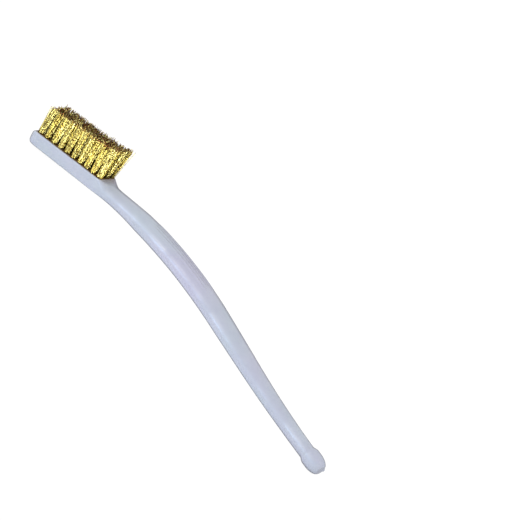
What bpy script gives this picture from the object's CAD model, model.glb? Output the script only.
"""The looks of the brass wire brush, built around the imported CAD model.

Lengths are in millimetres and in the head's own axes (x from the toe towards the knob, y across,
z above the tufted face) until placed() puts them in the frame, in metres. Materials, lamps and the
floor are in metres throughout.
"""

import math

import bmesh
import bpy
import numpy as np
from mathutils import Matrix


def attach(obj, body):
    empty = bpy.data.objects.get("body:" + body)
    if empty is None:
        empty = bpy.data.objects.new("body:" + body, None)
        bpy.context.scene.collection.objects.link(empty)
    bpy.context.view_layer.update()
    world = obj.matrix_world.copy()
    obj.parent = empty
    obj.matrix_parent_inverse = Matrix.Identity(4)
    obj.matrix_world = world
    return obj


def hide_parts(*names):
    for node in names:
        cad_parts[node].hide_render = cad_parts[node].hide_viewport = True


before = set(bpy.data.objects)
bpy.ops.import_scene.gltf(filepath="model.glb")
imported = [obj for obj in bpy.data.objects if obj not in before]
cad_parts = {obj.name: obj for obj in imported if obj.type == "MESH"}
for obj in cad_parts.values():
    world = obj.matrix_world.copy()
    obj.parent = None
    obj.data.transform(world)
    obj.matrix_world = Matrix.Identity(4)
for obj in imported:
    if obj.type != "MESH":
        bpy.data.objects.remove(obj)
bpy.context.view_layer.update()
MM = 0.001

# ---- the tufts and their holes, as in the CAD model ----
ROWS = (1, 2, 3)
COLUMNS = tuple(range(1, 11))
MIDDLE_ROW = 2
AXIS_COLUMNS = (1, 9)       # its two tufts whose feet give the direction of the head
FIRST_TUFT = 3.9            # from the toe to the first hole
HOLE_D = 2.0
HOLE_DEPTH = 3.8
ANCHOR_T = 0.36
ANCHOR_LOW = -3.25          # underside of the anchor plates
ANCHOR_TOP = -1.85          # their upper edge
SAME_LEVEL = 0.01           # corners of a tuft this close in height belong to one rim

# ---- the wires ----
WIRES = 30                  # wires in a tuft, each folded in half round the anchor
WIRE_D = 0.2
WIRE_SIDES = 5
WIRE_STEP = 0.14            # length of wire between two rings of vertices
BUNDLE_R = 0.86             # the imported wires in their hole
PACKING = 2.1               # places on the whole disc for each wire of one half of it
LEAST_X = 0.04              # least distance of a wire's centre from the bundle's middle plane
PLACE_NOISE = 0.02          # unevenness of the packing
TIP_R = 1.62                # the fanned tips
STRAY, MOST_STRAY = 0.26, 0.5     # how far single tips stray from their even places, and at most
COLLAR_SHARE = 0.2          # share of the fan that opens at once above the hole
COLLAR_LEN = 0.15           # height over which it does
BOW = 0.1                   # how far the wires bow sideways half way up
STRANDS = 30                # groups of wires in a tuft whose crimps nest in step
CRIMP = 0.09                # half height of the crimp
CRIMP_LENGTH = 0.8          # length of one crimp wave
STRAND_LENGTHS = (0.85, 1.15)     # shortest and longest wave of the strands, as shares of that
WIRE_NOISE = (0.35, 0.2, 0.01)    # how a wire differs from its strand in phase, twist and wave
CRIMP_START, CRIMP_GROWTH = -0.6, 1.2     # height where the crimp starts, and over which it grows
SWING, SWING_LENGTH = 0.5, 9      # radians that the crimp's plane swings, and over what length
RAGGED = 0.36               # how much the cut ends differ in height
LEAN = 3                    # degrees that the tufts lean back
TOE_LEAN = 5                # how much more the first column leans back
HEEL_LEAN = (2, 3.5, 5)     # how much more the last column does, in rows 1 to 3
LEAN_COLUMNS = 4            # columns over which either dies away
HEEL_SPREAD = 1.15          # how much wider the last column fans on its free side

# ---- the fold of each wire under its anchor ----
FOLD_GAP = 0.02             # between the wire and the side of the plate
FOLD_FLARE = 0.1            # how much farther out the wire is half way up the plate
FOLD_DROP = 0.35            # how much deeper the outermost wires pass under the plate
FOLD_LIFT, FOLD_WIDTH = 0.05, 0.6     # rise of the fold's corners, and their share of its width

# ---- the handle's driving sizes, as in the CAD model ----
HEAD_W, HEAD_LEN = 10.8, 35.5
TOE_T, HEEL_T = 5.3, 5.75             # thickness of the head at either end
TOE_CORNER, TOE_INSET = 3.8, 0.25     # rounding of the toe seen from above, and its narrower tip
FACE_EDGE, BACK_EDGE = 0.6, 1.5       # rounding of the head's long edges
EDGE_SHARES = (0.45, 0.9)             # most of the half thickness that either may take
TOE_ROLL_LEN, TOE_ROLL_DEPTH = 3.0, 3.0     # the face's roll down to the toe
TOE_LOW_EDGE = 1.4                    # rounding of the toe's lower edge
NECK_W, NECK_T, NECK_X = 8.7, 6.2, 42.6
NECK_LEAD = 2                         # how far before its end the head starts to become the neck
FILLET_LEN = 1.4                      # how soon the face drops to the top of the neck
EDGE_FADE = (34.5, 40)                # where the face's sharp edges turn into the round neck
GRIP_W, GRIP_T = 10.5, 7.8
NARROW_X, WIDE_X, THICK_X = 46, 71, 78      # where it starts to widen, is widest and is thickest
SHOULDER_X, SHOULDER_T = 56.6, 7.7    # where its quick rise in thickness ends
RISE_X, SHOULDER_RISE = 40.6, 1.6     # where the grip starts to thicken, and the power of the rise
STEM_D = 6
WIDTH_TAPER, THICKNESS_TAPER = (89, 166), (84, 164)     # where the grip tapers to the stem
BEND_X, BEND_Z, BEND_START = 38.1, -3.87, math.radians(1.67)
BEND_R, BEND_ANGLE = 199, math.radians(19.2)            # the bend down behind BEND_X
STRAIGHT_LEN, REVERSE_R, REVERSE_LEN = 22, 480, 39.5    # then straight, then a slight bend back
STEM_START = 5.9                      # first section square to the centre line, behind BEND_X
KNOB_D, KNOB_LEN, KNOB_FLAT_D = 7.4, 8.8, 3.2
KNOB_SWELL, SWELL_LEAD = 2.3, 0.4     # length of its swelling, and the share it starts early
KNOB_CLOSE = 0.45                     # share of its length from where it closes

# ---- detail that only the visual handle has ----
RIBS, RIB_PITCH, RIB_H = 5, 1.3, 0.18
RIB_FADE = ((60, 64), (90, 97))       # where the ribs rise out of the grip and sink back into it
GATE_H, GATE_R = 0.32, 0.6            # stub of the moulding gate at the end of the knob
GATE_SIDE = 1.9                       # its distance from the knob's axis, along the parting line
GATE_TILT = 0.4                       # how far it points to that side
GATE_BLUNTNESS = 4                    # power of its bump: higher is flatter on top and steeper

# ---- fineness of the meshes ----
RING = 192                            # points round a section of the handle
TOE_RINGS, HEAD_RINGS, HEEL_RINGS, NECK_RINGS = 20, 26, 8, 26
NECK_CROWDING = 1.7                   # crowds the neck's rings towards the fillet
STEM_RINGS, SWELL_RINGS, CLOSE_RINGS, END_RINGS = 200, 12, 30, 12
END_R = 0.1                           # last ring on the flat end of the knob
DRILL_SIDES = 32
HANDLE_CREASE, WIRE_CREASE = 32, 50   # degrees between faces above which an edge stays sharp
DOUBLED = 1e-7                        # metres within which two points are one


# ---------------------------------------------------------------- places in the frame

def cad_points(node):
    """The corners of a CAD node's mesh in the frame, in millimetres."""
    return np.array([v.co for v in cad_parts[node].data.vertices]) / MM


def tuft_name(row, column):
    return f"tuft_r{row}_c{column:02d}"


def head_axes():
    """Unit vectors along the head and up from its face, from the lowest corners of two tufts."""
    toe, heel = (min(cad_points(tuft_name(MIDDLE_ROW, c)), key=lambda p: p[2])
                 for c in AXIS_COLUMNS)
    along = (heel - toe) / np.linalg.norm(heel - toe)
    return along, np.array((-along[2], 0, along[0]))


ALONG, UP = head_axes()
ACROSS = np.array((0, 1, 0))


def tuft_ends(row, column):
    """Centres of the flat bottom and of the trimmed top of a CAD tuft."""
    points = cad_points(tuft_name(row, column))
    height = points @ UP
    rims = (points[abs(height - level) < SAME_LEVEL] for level in (height.min(), height.max()))
    return [(rim.min(axis=0) + rim.max(axis=0)) / 2 for rim in rims]


TOE = tuft_ends(MIDDLE_ROW, 1)[0] + HOLE_DEPTH * UP - FIRST_TUFT * ALONG


def placed(points):
    """Points in the head's axes, in the frame and in metres."""
    points = np.asarray(points, float)
    return (TOE + points @ np.array((ALONG, ACROSS, UP))) * MM


def in_head(point):
    """A point of the frame, in millimetres, in the head's axes."""
    return np.array([ALONG, ACROSS, UP]) @ (point - TOE)


# ---------------------------------------------------------------- small helpers

def smooth(a, b, x):
    """0 below a and 1 above b, with an even S between them."""
    u = min(1, max(0, (x - a) / (b - a)))
    return u * u * (3 - 2 * u)


def mix(a, b, u):
    return a + (b - a) * u


def make_mesh_object(name, points, faces):
    mesh = bpy.data.meshes.new(name)
    mesh.from_pydata(points.tolist(), [], faces)
    mesh.update()
    piece = bpy.data.objects.new(name, mesh)
    bpy.context.scene.collection.objects.link(piece)
    return piece


def ring_faces(count, sides):
    """Faces that join count rings of points, one behind the other, into a closed skin."""
    faces = [(i * sides + j, i * sides + (j + 1) % sides,
              (i + 1) * sides + (j + 1) % sides, (i + 1) * sides + j)
             for i in range(count - 1) for j in range(sides)]
    faces.append(tuple(range(sides - 1, -1, -1)))
    faces.append(tuple(range((count - 1) * sides, count * sides)))
    return faces


def weld(piece):
    """Joins the doubled points where two corners of a section meet, and turns all faces outward."""
    bm = bmesh.new()
    bm.from_mesh(piece.data)
    bmesh.ops.remove_doubles(bm, verts=bm.verts, dist=DOUBLED)
    bmesh.ops.recalc_face_normals(bm, faces=bm.faces)
    bm.to_mesh(piece.data)
    bm.free()


def shade_smooth(piece, sharp_angle):
    """Smooth shading, with a crease wherever two faces meet at more than sharp_angle degrees."""
    bm = bmesh.new()
    bm.from_mesh(piece.data)
    for face in bm.faces:
        face.smooth = True
    for edge in bm.edges:
        edge.smooth = edge.calc_face_angle(0) < math.radians(sharp_angle)
    bm.to_mesh(piece.data)
    bm.free()


# ---------------------------------------------------------------- handle

def roll(length, depth, d):
    """Drop of a quarter-ellipse edge at distance d from its end."""
    return 0 if d >= length else depth * (1 - math.sqrt(max(0, 1 - (1 - d / length) ** 2)))


def fillet(x):
    """0 on the head's face, and towards 1 as it drops to the top of the neck."""
    return 0 if x < HEAD_LEN else 1 - math.exp(-(x - HEAD_LEN) / FILLET_LEN)


def into_neck(x):
    """0 on the head and 1 where it has become the neck."""
    return smooth(HEAD_LEN - NECK_LEAD, NECK_X, x)


def neck_mid(x):
    """Height of the neck's centre line."""
    return BEND_Z - math.tan(BEND_START) * (x - BEND_X) - max(0, x - BEND_X) ** 2 / 2 / BEND_R


def head_half_w(x):
    toe = roll(TOE_CORNER, TOE_CORNER, x) + TOE_INSET * (1 - smooth(0, 2 * TOE_INSET, x))
    return HEAD_W / 2 - toe - (HEAD_W - NECK_W) / 2 * into_neck(x)


def face_z(x):
    return mix(-roll(TOE_ROLL_LEN, TOE_ROLL_DEPTH, x), neck_mid(x) + NECK_T / 2, fillet(x))


def back_z(x):
    head = -mix(TOE_T, HEEL_T, x / HEAD_LEN) + roll(TOE_LOW_EDGE, TOE_LOW_EDGE, x)
    return mix(head, neck_mid(x) - NECK_T / 2, into_neck(x))


BEND_LEN = BEND_R * BEND_ANGLE
STEM_LEN = BEND_LEN + STRAIGHT_LEN + REVERSE_LEN
FULL_SLOPE = BEND_START + BEND_ANGLE


def centre_line(s):
    """Centre (x, z) and downward slope of the handle at arc length s behind BEND_X."""
    def on_bend(slope):
        return np.array((BEND_X + BEND_R * (math.sin(slope) - math.sin(BEND_START)),
                         BEND_Z + BEND_R * (math.cos(slope) - math.cos(BEND_START))))
    if s < BEND_LEN:
        slope = BEND_START + s / BEND_R
        return on_bend(slope), slope
    ahead = np.array((math.cos(FULL_SLOPE), -math.sin(FULL_SLOPE)))
    straight = min(s - BEND_LEN, STRAIGHT_LEN)
    slope = FULL_SLOPE - max(0, s - BEND_LEN - STRAIGHT_LEN) / REVERSE_R
    reverse = REVERSE_R * np.array((math.sin(FULL_SLOPE) - math.sin(slope),
                                    math.cos(FULL_SLOPE) - math.cos(slope)))
    return on_bend(FULL_SLOPE) + straight * ahead + reverse, slope


def grip_width(x):
    if x < WIDE_X:
        return mix(NECK_W, GRIP_W, smooth(NARROW_X, WIDE_X, x))
    return mix(GRIP_W, STEM_D, smooth(*WIDTH_TAPER, x))


def grip_thickness(x):
    if x < SHOULDER_X:
        rise = max(0, (x - RISE_X) / (SHOULDER_X - RISE_X)) ** SHOULDER_RISE
        return mix(NECK_T, SHOULDER_T, rise)
    if x < THICK_X:
        return mix(SHOULDER_T, GRIP_T, smooth(SHOULDER_X, THICK_X, x))
    return mix(GRIP_T, STEM_D, smooth(*THICKNESS_TAPER, x))


def section(half_w, half_t, face, back):
    """A closed ring of (y, z): a rectangle with elliptical corners of half axes face and back."""
    ring = []
    for (a, b), side_y, side_z, start in ((face, 1, 1, 0), (face, -1, 1, 90), (back, -1, -1, 180),
                                          (back, 1, -1, 270)):
        turn = np.radians(np.linspace(start, start + 90, RING // 4))
        ring.append(np.stack((side_y * (half_w - a) + a * np.cos(turn),
                              side_z * (half_t - b) + b * np.sin(turn)), axis=1))
    return np.concatenate(ring)


def in_place(mid, slope, ring):
    """The ring stood across the centre line at mid (x, z)."""
    y, z = ring.T
    return np.stack((mid[0] + z * math.sin(slope), y, mid[1] + z * math.cos(slope)), axis=1)


def head_ring(x):
    half_w, top, low = head_half_w(x), face_z(x), back_z(x)
    half_t = (top - low) / 2
    u, v = into_neck(x), smooth(*EDGE_FADE, x)
    face_t, back_t = (half_t * share for share in EDGE_SHARES)
    face = mix(min(FACE_EDGE, half_w), half_w, v), mix(min(FACE_EDGE, face_t), half_t, v)
    back = mix(min(BACK_EDGE, half_w), half_w, u), mix(min(BACK_EDGE, back_t), half_t, u)
    return in_place((x, (top + low) / 2), BEND_START * u, section(half_w, half_t, face, back))


def with_ribs(ring, x):
    """The thumb ribs: fine ridges along the bristle side of the grip."""
    rise = RIB_H * smooth(*RIB_FADE[0], x) * (1 - smooth(*RIB_FADE[1], x))
    y, z = ring.T
    inside = (abs(y) < RIBS * RIB_PITCH / 2) & (z > 0)
    wave = 0.5 - 0.5 * np.cos(2 * np.pi * (y / RIB_PITCH + RIBS / 2))
    return np.stack((y, z + np.where(inside, rise * wave, 0)), axis=1)


def stem_ring(s):
    mid, slope = centre_line(s)
    half = grip_width(mid[0]) / 2, grip_thickness(mid[0]) / 2
    return in_place(mid, slope, with_ribs(section(*half, half, half), mid[0]))


def knob_radius(d):
    """Radius of the knob at distance d behind the end of the stem."""
    def swell(at):
        return smooth(-SWELL_LEAD * KNOB_SWELL, KNOB_SWELL, at)
    if d < KNOB_SWELL:
        return mix(STEM_D / 2, KNOB_D / 2, (swell(d) - swell(0)) / (1 - swell(0)))
    u = max(0, (d / KNOB_LEN - KNOB_CLOSE) / (1 - KNOB_CLOSE))
    return mix(KNOB_FLAT_D / 2, KNOB_D / 2, math.sqrt(max(0, 1 - u * u)))


def knob_ring(d, r):
    mid, slope = centre_line(STEM_LEN)
    mid = mid + d * np.array((math.cos(slope), -math.sin(slope)))
    return in_place(mid, slope, section(r, r, (r, r), (r, r)))


def quarter(count):
    """Angles in radians from 0 to a right angle, for rings that crowd where a surface curves."""
    return np.radians(np.linspace(0, 90, count))


def handle_rings():
    toe = TOE_CORNER * (1 - np.cos(quarter(TOE_RINGS)))
    head = np.linspace(TOE_CORNER, HEAD_LEN - NECK_LEAD, HEAD_RINGS)[1:]
    heel = np.linspace(HEAD_LEN - NECK_LEAD, HEAD_LEN, HEEL_RINGS)[1:]
    neck = HEAD_LEN + (NECK_X - HEAD_LEN) * np.linspace(0, 1, NECK_RINGS)[1:] ** NECK_CROWDING
    stem = np.linspace(STEM_START, STEM_LEN, STEM_RINGS)
    swell = np.linspace(0, KNOB_SWELL, SWELL_RINGS)[1:]
    close = KNOB_SWELL + (KNOB_LEN - KNOB_SWELL) * np.sin(quarter(CLOSE_RINGS)[1:])
    end = np.linspace(KNOB_FLAT_D / 2, END_R, END_RINGS)[1:]
    return ([head_ring(x) for x in np.concatenate((toe, head, heel, neck))]
            + [stem_ring(s) for s in stem]
            + [knob_ring(d, knob_radius(d)) for d in np.concatenate((swell, close))]
            + [knob_ring(KNOB_LEN, r) for r in end])


def add_gate_mark(rings):
    """A blunt stub where the moulding gate was cut off, on the parting line at the knob's end."""
    mid, slope = centre_line(STEM_LEN)
    ahead = np.array((math.cos(slope), 0, -math.sin(slope)))
    spot = np.array((mid[0], GATE_SIDE, mid[1])) + KNOB_LEN * ahead
    push = ahead + GATE_TILT * ACROSS
    far = np.linalg.norm(rings - spot, axis=2) / GATE_R
    return rings + GATE_H * np.exp(-far ** GATE_BLUNTNESS)[..., None] * push


def drill_holes(handle):
    """Cuts the blind tuft holes with one boolean."""
    bm = bmesh.new()
    for row in ROWS:
        for column in COLUMNS:
            bottom = in_head(tuft_ends(row, column)[0])
            mouth = bottom + (0, 0, HOLE_DEPTH)
            bmesh.ops.create_cone(bm, cap_ends=True, segments=DRILL_SIDES, radius1=HOLE_D / 2,
                                  radius2=HOLE_D / 2, depth=2 * HOLE_DEPTH,
                                  matrix=Matrix.Translation(mouth))
    points = placed([v.co for v in bm.verts])
    for v, point in zip(bm.verts, points):
        v.co = point
    drills = bpy.data.objects.new("drills", bpy.data.meshes.new("drills"))
    bm.to_mesh(drills.data)
    bm.free()
    bpy.context.scene.collection.objects.link(drills)
    cut = handle.modifiers.new("holes", "BOOLEAN")
    cut.operation, cut.solver, cut.object = "DIFFERENCE", "EXACT", drills
    bpy.context.view_layer.update()
    graph = bpy.context.evaluated_depsgraph_get()
    cut_mesh = bpy.data.meshes.new_from_object(handle.evaluated_get(graph))
    handle.modifiers.remove(cut)
    handle.data = cut_mesh
    bpy.data.objects.remove(drills)


def make_handle():
    rings = add_gate_mark(np.array(handle_rings()))
    handle = make_mesh_object("handle_moulding", placed(rings.reshape(-1, 3)),
                              ring_faces(len(rings), RING))
    weld(handle)
    drill_holes(handle)
    shade_smooth(handle, HANDLE_CREASE)
    return handle


# ---------------------------------------------------------------- wires

def bundle_places(rng):
    """Places (x, y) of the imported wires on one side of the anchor, even over a half disc."""
    places = []
    i = 0
    while len(places) < WIRES:
        r = BUNDLE_R * math.sqrt((i + 0.5) / (PACKING * WIRES))
        turn = i * math.pi * (3 - math.sqrt(5))
        x, y = r * math.cos(turn), r * math.sin(turn)
        if x > LEAST_X:
            places.append((x, y))
        i += 1
    places = np.array(places)
    return places + rng.normal(0, PLACE_NOISE, places.shape)


def lean_of(row, column):
    """Backward lean of a tuft, which is more where it has no neighbour on one side."""
    def share(columns_away):
        return max(0, 1 - columns_away / LEAN_COLUMNS)
    return math.radians(LEAN + TOE_LEAN * share(column - COLUMNS[0])
                        + HEEL_LEAN[row - 1] * share(COLUMNS[-1] - column))


def leg(rng, place, side, strands, lean, spread, height):
    """The wire from just above the anchor to its tip, as points in the tuft's own axes."""
    start = np.array((side * place[0], place[1]))
    tip = start * TIP_R / BUNDLE_R + np.clip(rng.normal(0, STRAY, 2), -MOST_STRAY, MOST_STRAY)
    tip[0] *= spread if tip[0] > 0 else 1
    top = height + rng.normal(0, RAGGED)
    z = np.linspace(ANCHOR_TOP, top, int((top - ANCHOR_TOP) / WIRE_STEP))
    up = np.clip(z / top, 0, None)
    collar = 1 - np.exp(-np.clip(z, 0, None) / COLLAR_LEN)
    opened = COLLAR_SHARE * collar + (1 - COLLAR_SHARE) * up
    bow = rng.normal(0, BOW, 2)
    xy = start + (tip - start) * opened[:, None] + bow * (4 * up * (1 - up))[:, None]
    phase, twist, length = strands[rng.integers(len(strands))] + rng.normal(0, WIRE_NOISE)
    grown = np.clip((z - CRIMP_START) / CRIMP_GROWTH, 0, 1)
    wave = CRIMP * grown * np.sin(2 * np.pi * z / length + phase)
    plane = twist + SWING * np.sin(2 * np.pi * z / SWING_LENGTH + phase)
    xy = xy + np.stack((np.cos(plane), np.sin(plane)), axis=1) * wave[:, None]
    xy[:, 0] += math.tan(lean) * np.clip(z, 0, None)
    return np.column_stack((xy, z))


def fold(place_a, place_b):
    """The wire under the anchor, from one leg's foot down one side and up the other to the next."""
    side = (ANCHOR_T + WIRE_D) / 2 + FOLD_GAP
    depth = ANCHOR_LOW - WIRE_D / 2 - FOLD_DROP * min(1, place_a[0] / BUNDLE_R)
    y = (place_a[1] + place_b[1]) / 2
    middle = (ANCHOR_LOW + ANCHOR_TOP) / 2
    y_a, y_b = (mix(place[1], y, 0.5) for place in (place_a, place_b))
    return np.array([(-side - FOLD_FLARE, y_a, middle), (-side, y, ANCHOR_LOW),
                     (-side * FOLD_WIDTH, y, depth + FOLD_LIFT), (0, y, depth),
                     (side * FOLD_WIDTH, y, depth + FOLD_LIFT), (side, y, ANCHOR_LOW),
                     (side + FOLD_FLARE, y_b, middle)])


def tube(path, radius):
    """Points and faces of a round wire along the path."""
    ahead = np.gradient(path, axis=0)
    ahead /= np.linalg.norm(ahead, axis=1)[:, None]
    side = np.cross(ahead, (0, 1, 0))
    side /= np.linalg.norm(side, axis=1)[:, None]
    other = np.cross(ahead, side)
    turn = np.arange(WIRE_SIDES) * 2 * np.pi / WIRE_SIDES
    rim = (side[:, None] * np.cos(turn)[:, None] + other[:, None] * np.sin(turn)[:, None]) * radius
    return (path[:, None] + rim).reshape(-1, 3), ring_faces(len(path), WIRE_SIDES)


def make_tuft(row, column):
    """All the wires of one tuft as one piece.

    Two values on its points serve the brass material: end_gap, the length of wire in millimetres to
    the nearer cut end, and tone, one number from 0 to 1 for each wire.
    """
    rng = np.random.default_rng(1000 * row + column)
    bottom, top = map(in_head, tuft_ends(row, column))
    mouth = bottom + (0, 0, HOLE_DEPTH)
    height = top[2] - mouth[2]
    lean = lean_of(row, column)
    spread = HEEL_SPREAD if column == COLUMNS[-1] else 1
    strands = np.column_stack((rng.uniform(0, 2 * np.pi, (STRANDS, 2)),
                               rng.uniform(*STRAND_LENGTHS, STRANDS) * CRIMP_LENGTH))
    points, faces, end_gap, tone = [], [], [], []
    start = 0
    for place in bundle_places(rng):
        partner = place + rng.normal(0, PLACE_NOISE, 2)
        near = leg(rng, place, -1, strands, lean, spread, height)
        far = leg(rng, partner, 1, strands, lean, spread, height)
        path = np.concatenate((near[::-1], fold(place, partner), far))
        wire_points, wire_faces = tube(path + mouth, WIRE_D / 2)
        points.append(wire_points)
        faces += [tuple(start + k for k in face) for face in wire_faces]
        start += len(wire_points)
        walked = np.concatenate(([0], np.cumsum(np.linalg.norm(np.diff(path, axis=0), axis=1))))
        end_gap.append(np.repeat(np.minimum(walked, walked[-1] - walked), WIRE_SIDES))
        tone.append(np.full(len(wire_points), rng.random()))
    piece = make_mesh_object(f"wires_r{row}_c{column:02d}", placed(np.concatenate(points)), faces)
    for name, values in (("end_gap", np.concatenate(end_gap)), ("tone", np.concatenate(tone))):
        attribute = piece.data.attributes.new(name, "FLOAT", "POINT")
        attribute.data.foreach_set("value", values.astype(np.float32))
    shade_smooth(piece, WIRE_CREASE)
    return piece


# ---------------------------------------------------------------- materials

WHITE = (1, 1, 1, 1)


class Nodes:
    """A short way to write a material's node tree."""

    def __init__(self, name):
        self.material = bpy.data.materials.new(name)
        self.material.use_nodes = True
        self.tree = self.material.node_tree
        self.shader = self.tree.nodes["Principled BSDF"]

    def add(self, kind, settings=None, **inputs):
        """A new node's outputs. Inputs go by name, with _ for a space, or by number: i0, i1 ..."""
        node = self.tree.nodes.new(kind)
        for key, value in (settings or {}).items():
            setattr(node, key, value)
        for key, value in inputs.items():
            numbered = key[0] == "i" and key[1:].isdigit()
            self.put(node.inputs[int(key[1:]) if numbered else key.replace("_", " ")], value)
        return node.outputs

    def put(self, socket, value):
        if isinstance(value, bpy.types.NodeSocket):
            self.tree.links.new(value, socket)
        else:
            socket.default_value = value

    def noise(self, scale, detail, stretch=(1, 1, 1)):
        """Noise in the frame's own metres, so that grain keeps its size from piece to piece."""
        place = self.add("ShaderNodeTexCoord")["Object"]
        place = self.add("ShaderNodeVectorMath", {"operation": "MULTIPLY"}, i0=place, i1=stretch)[0]
        return self.add("ShaderNodeTexNoise", Vector=place, Scale=scale, Detail=detail)["Fac"]

    def attribute(self, name):
        return self.add("ShaderNodeAttribute", {"attribute_name": name})["Fac"]

    def between(self, value, low, high, to_low=0.0, to_high=1.0):
        """value from low..high to to_low..to_high, and no further."""
        return self.add("ShaderNodeMapRange", None, Value=value, From_Min=low, From_Max=high,
                        To_Min=to_low, To_Max=to_high)[0]

    def blend(self, fac, a, b):
        return self.add("ShaderNodeMix", {"data_type": "RGBA"}, i0=fac, i6=a, i7=b)[2]

    def maths(self, operation, *values):
        numbered = {f"i{i}": value for i, value in enumerate(values)}
        return self.add("ShaderNodeMath", {"operation": operation}, **numbered)[0]

    def openness(self):
        """1 in the open, and less the more that neighbours within OPEN_REACH shut a spot in."""
        return self.add("ShaderNodeAmbientOcclusion", {"samples": 6}, Distance=OPEN_REACH)["AO"]

    def bump(self, height, strength):
        return self.add("ShaderNodeBump", None, Strength=strength, Distance=BUMP_DEPTH,
                        Height=height)["Normal"]

    def set(self, **inputs):
        for key, value in inputs.items():
            self.put(self.shader.inputs[key.replace("_", " ")], value)


def srgb(r, g, b):
    """A colour as the eye reads it, 0 to 255, as linear light."""
    return (*((c / 255) ** 2.2 for c in (r, g, b)), 1)


OPEN_REACH = 0.004
BUMP_DEPTH = 0.00002

# Noise is given as waves in a metre, detail and, where it has one, its stretch along each axis.
# Nearly all of its values lie in NOISE_RANGE. A range is the pair of values that between() takes
# to the ends of its result, or to the two levels that follow it.
NOISE_RANGE = (0.3, 0.7)

LAVENDER, BLUE_GREY = srgb(154, 154, 170), srgb(151, 158, 168)
CLOUDS, CLOUD_RANGE = (90, 4, (0.35, 1, 1)), (0.35, 0.65)
RIM_GREY, RIM_RANGE = srgb(98, 99, 106), (0.54, 0.85)        # by how far the surface turns away
GAP_BROWN, GAP_RANGE = srgb(96, 72, 26), (0.92, 0.65)        # by openness: brass tints the gaps
FACE_RANGE = (0.6, 0.9)                                      # cosine of the angle to UP
PLASTIC_GRAIN, PLASTIC_ROUGHNESS = (2600, 5), (0.3, 0.42)
GLOSS, GLOSS_RANGE, GLOSS_LEVELS = (150, 3, (0.6, 1, 1)), (0.4, 0.6), (0.15, 0.6)
WAVES, WAVE_SHARE = (260, 2, (0.25, 1, 1)), 26.0             # unevenness against the fine grain
PLASTIC_BUMP = 0.12
SCATTER, SCATTER_RADIUS, SCATTER_SCALE = 0.22, (1.0, 1.0, 1.2), 0.0016


def plastic():
    """Satin, slightly clouded plastic, greyer where it turns away, and brown between the tufts."""
    n = Nodes("satin_lavender_plastic")
    colour = n.blend(n.between(n.noise(*CLOUDS), *CLOUD_RANGE), LAVENDER, BLUE_GREY)
    rim = n.between(n.add("ShaderNodeLayerWeight", Blend=0.5)["Facing"], *RIM_RANGE)
    colour = n.blend(rim, colour, RIM_GREY)
    shade = n.between(n.openness(), *GAP_RANGE)
    normal = n.add("ShaderNodeNewGeometry")["Normal"]
    on_face = n.add("ShaderNodeVectorMath", {"operation": "DOT_PRODUCT"}, i0=normal, i1=UP)["Value"]
    shade = n.maths("MULTIPLY", shade, n.between(on_face, *FACE_RANGE))
    colour = n.blend(shade, colour, GAP_BROWN)
    bright = n.between(n.maths("MAXIMUM", rim, shade), 0, 1, 1, 0)
    gloss = n.between(n.noise(*GLOSS), *GLOSS_RANGE, *GLOSS_LEVELS)
    grain = n.noise(*PLASTIC_GRAIN)
    n.set(Base_Color=colour, Roughness=n.between(grain, *NOISE_RANGE, *PLASTIC_ROUGHNESS),
          Specular_IOR_Level=n.maths("MULTIPLY", bright, gloss), Subsurface_Weight=SCATTER,
          Subsurface_Radius=SCATTER_RADIUS, Subsurface_Scale=SCATTER_SCALE)
    n.set(Normal=n.bump(n.maths("MULTIPLY_ADD", n.noise(*WAVES), WAVE_SHARE, grain), PLASTIC_BUMP))
    return n.material


DARK_BRASS, LIGHT_BRASS = srgb(236, 212, 96), srgb(255, 246, 160)
SPECKS, SPECK_COLOUR, SPECK_RANGE = (1750, 3), srgb(100, 70, 5), (0.5, 0.58)
DEEP_COLOUR, DEEP_RANGE = srgb(34, 20, 1), (0.5, 0.25)               # by openness
CUT_DARK, CUT_LIGHT, CUT_SPECK_RANGE = srgb(30, 10, 2), srgb(150, 84, 40), (0.4, 0.6)
CUT_RANGE = (0.6, 0.15)              # millimetres from the cut end over which the wire turns brown
SPARED_RANGE = (0.6, 0.8)            # tones of the wires whose ends stay bright
METAL_RANGE, METAL_LEVELS = (0.15, 0.9), (0.55, 1.0)                 # by the same millimetres
BRASS_ROUGHNESS, BRASS_BUMP = (0.24, 0.4), 0.3


def brass():
    """Bright wire with dark specks, dark deep between the wires, and brown at most cut ends."""
    n = Nodes("crimped_brass_wire")
    tone = n.attribute("tone")
    speck = n.noise(*SPECKS)
    colour = n.blend(tone, DARK_BRASS, LIGHT_BRASS)
    colour = n.blend(n.between(speck, *SPECK_RANGE), colour, SPECK_COLOUR)
    gap = n.attribute("end_gap")
    colour = n.blend(n.between(n.openness(), *DEEP_RANGE), colour, DEEP_COLOUR)
    cut = n.between(n.maths("ADD", gap, n.between(tone, *SPARED_RANGE)), *CUT_RANGE)
    cut_colour = n.blend(n.between(speck, *CUT_SPECK_RANGE), CUT_DARK, CUT_LIGHT)
    colour = n.blend(cut, colour, cut_colour)
    n.set(Base_Color=colour, Metallic=n.between(gap, *METAL_RANGE, *METAL_LEVELS),
          Roughness=n.between(speck, *NOISE_RANGE, *BRASS_ROUGHNESS))
    n.set(Normal=n.bump(speck, BRASS_BUMP))
    return n.material


STREAKS = (3000, 4, (1, 1, 0.15))
LIGHT_STRIP, DARK_STRIP = srgb(206, 178, 104), srgb(176, 144, 78)
STRIP_ROUGHNESS = (0.25, 0.45)


def strip():
    """Rolled brass strip, for the anchor plates."""
    n = Nodes("brass_strip")
    streak = n.noise(*STREAKS)
    n.set(Base_Color=n.blend(streak, LIGHT_STRIP, DARK_STRIP), Metallic=1.0,
          Roughness=n.between(streak, *NOISE_RANGE, *STRIP_ROUGHNESS))
    return n.material


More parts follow.
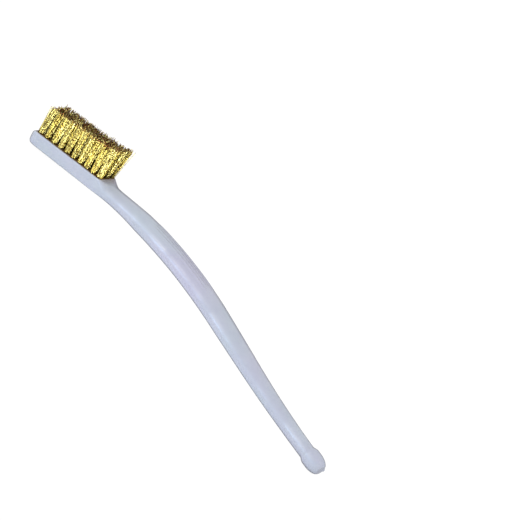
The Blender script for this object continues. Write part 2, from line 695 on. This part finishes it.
# The sheet's grey as it lights the object, as it is mirrored, and under its glow for the camera.
TABLE_DIFFUSE, TABLE_GLOSSY, TABLE_SEEN = srgb(237, 237, 237), srgb(225, 225, 225), srgb(60, 60, 60)
TABLE_GLOW = (0.05, 0.98)            # its own light towards the object, and towards the camera


def white_table():
    """A pale sheet lit from below, as on a light table, so that shadows on it stay faint."""
    n = Nodes("light_table")
    path = n.add("ShaderNodeLightPath")
    colour = n.blend(path["Is Glossy Ray"], TABLE_DIFFUSE, TABLE_GLOSSY)
    colour = n.blend(path["Is Camera Ray"], colour, TABLE_SEEN)
    n.set(Base_Color=colour, Roughness=0.9, Specular_IOR_Level=0.1, Emission_Color=WHITE,
          Emission_Strength=n.between(path["Is Camera Ray"], 0, 1, *TABLE_GLOW))
    return n.material


# ---------------------------------------------------------------- light, floor and camera

VIEW_RIGHT = np.array((0.695, 0.585, 0.416))      # in the head's axes
VIEW_UP = np.array((-0.533, 0.034, 0.8445))
VIEW_WIDTH = 187.7                # millimetres across the picture
VIEW_TARGET = (79.64, -48.09)     # middle of the picture from the toe, to the right and up
VIEW_DISTANCE = 600
WORLD_DIFFUSE, WORLD_GLOSSY = 1.15, 1.0     # strength of the white room as light and as mirrored
FLOOR_HALF = 3
COOL, BLUE = (0.8, 0.88, 1.0), (0.5, 0.7, 1.0)


def frame_direction(vector):
    vector = vector @ np.array((ALONG, ACROSS, UP))
    return vector / np.linalg.norm(vector)


def add_camera():
    right, up = frame_direction(VIEW_RIGHT), frame_direction(VIEW_UP)
    back = np.cross(right, up)
    up = np.cross(back, right)
    place = (TOE + VIEW_TARGET[0] * right + VIEW_TARGET[1] * up + VIEW_DISTANCE * back) * MM
    data = bpy.data.cameras.new("camera")
    data.type, data.ortho_scale = "ORTHO", VIEW_WIDTH * MM
    camera = bpy.data.objects.new("camera", data)
    turn = np.array((right, up, back)).T
    camera.matrix_world = Matrix([(*row, p) for row, p in zip(turn, place)] + [(0, 0, 0, 1)])
    bpy.context.scene.collection.objects.link(camera)
    bpy.context.scene.camera = camera


def add_softbox(name, place, size, power, colour=(1, 1, 1), lights=None, lies_flat=False,
                diffuse=True, glossy=True):
    """A lamp that points at the middle of the frame, or straight up where it lies flat.

    lights is the collection that it lights, or None for everything. diffuse and glossy say whether
    it counts as light on matt surfaces and whether it shows as a reflection.
    """
    data = bpy.data.lights.new(name, "AREA")
    data.shape, data.size, data.size_y, data.energy = "RECTANGLE", size[0], size[1], power
    data.color = colour
    lamp = bpy.data.objects.new(name, data)
    lamp.location = place
    lamp.rotation_euler = lamp.location.to_track_quat("Z", "Y").to_euler()
    if lies_flat:
        lamp.rotation_euler = (math.pi, 0, 0)
    lamp.visible_camera = False
    lamp.visible_diffuse, lamp.visible_glossy = diffuse, glossy
    if lights:
        lamp.light_linking.receiver_collection = lights
    bpy.context.scene.collection.objects.link(lamp)


def add_lamps(wires, mouldings):
    add_softbox("key", (-0.3, -0.6, 0.45), (0.2, 0.2), 1.6)
    add_softbox("fill", (0.45, 0.2, 0.55), (0.3, 0.3), 1.3)
    # What the crimped wires mirror: a high panel in front, and a strip on the table before them.
    add_softbox("glint_panel", (-0.25, -0.7, 0.5), (0.6, 0.4), 4.0, lights=wires, diffuse=False)
    add_softbox("front_strip", (-0.04, -0.036, 0.001), (0.18, 0.014), 0.11, lights=wires,
                lies_flat=True)
    # The long sheen on the near flank of the handle, and soft cool light on it from low in front.
    add_softbox("sheen_panel", (-0.2, -0.62, 0.09), (0.9, 0.12), 5.0, BLUE, lights=mouldings,
                diffuse=False)
    add_softbox("low_fill", (0.02, -0.05, 0.001), (0.3, 0.09), 0.05, COOL, lights=mouldings,
                lies_flat=True, glossy=False)
    add_softbox("side_fill", (0, -0.5, 0.06), (0.6, 0.08), 0.45, COOL, lights=mouldings,
                glossy=False)


def add_room():
    """The white room that lights the object from all sides and is mirrored a little less bright."""
    world = bpy.data.worlds.new("studio")
    bpy.context.scene.world = world
    world.use_nodes = True
    tree = world.node_tree
    path = tree.nodes.new("ShaderNodeLightPath")
    strength = tree.nodes.new("ShaderNodeMapRange")
    strength.inputs["To Min"].default_value = WORLD_DIFFUSE
    strength.inputs["To Max"].default_value = WORLD_GLOSSY
    tree.links.new(path.outputs["Is Glossy Ray"], strength.inputs["Value"])
    tree.links.new(strength.outputs[0], tree.nodes["Background"].inputs["Strength"])
    tree.nodes["Background"].inputs["Color"].default_value = WHITE


def add_studio(wires, mouldings):
    bpy.context.scene.view_settings.view_transform = "Standard"
    corners = FLOOR_HALF * np.array([(-1, -1, 0), (1, -1, 0), (1, 1, 0), (-1, 1, 0)])
    floor = make_mesh_object("floor", corners, [(0, 1, 2, 3)])
    floor.data.materials.append(white_table())
    add_room()
    add_lamps(wires, mouldings)


# ---------------------------------------------------------------- the build

def put_on(piece, material, node):
    """Gives the piece its material and slot, and puts it in the place of the CAD node."""
    piece.data.materials.clear()
    piece.data.materials.append(material)
    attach(piece, "root")
    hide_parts(node)


handle = make_handle()
put_on(handle, plastic(), "handle")
mouldings, wires = (bpy.data.collections.new(name) for name in ("mouldings", "wires"))
mouldings.objects.link(handle)
wire_brass = brass()
for row in ROWS:
    for column in COLUMNS:
        tuft = make_tuft(row, column)
        put_on(tuft, wire_brass, tuft_name(row, column))
        wires.objects.link(tuft)
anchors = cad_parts["anchors"]
anchors.data.materials.clear()
anchors.data.materials.append(strip())
add_studio(wires, mouldings)
add_camera()
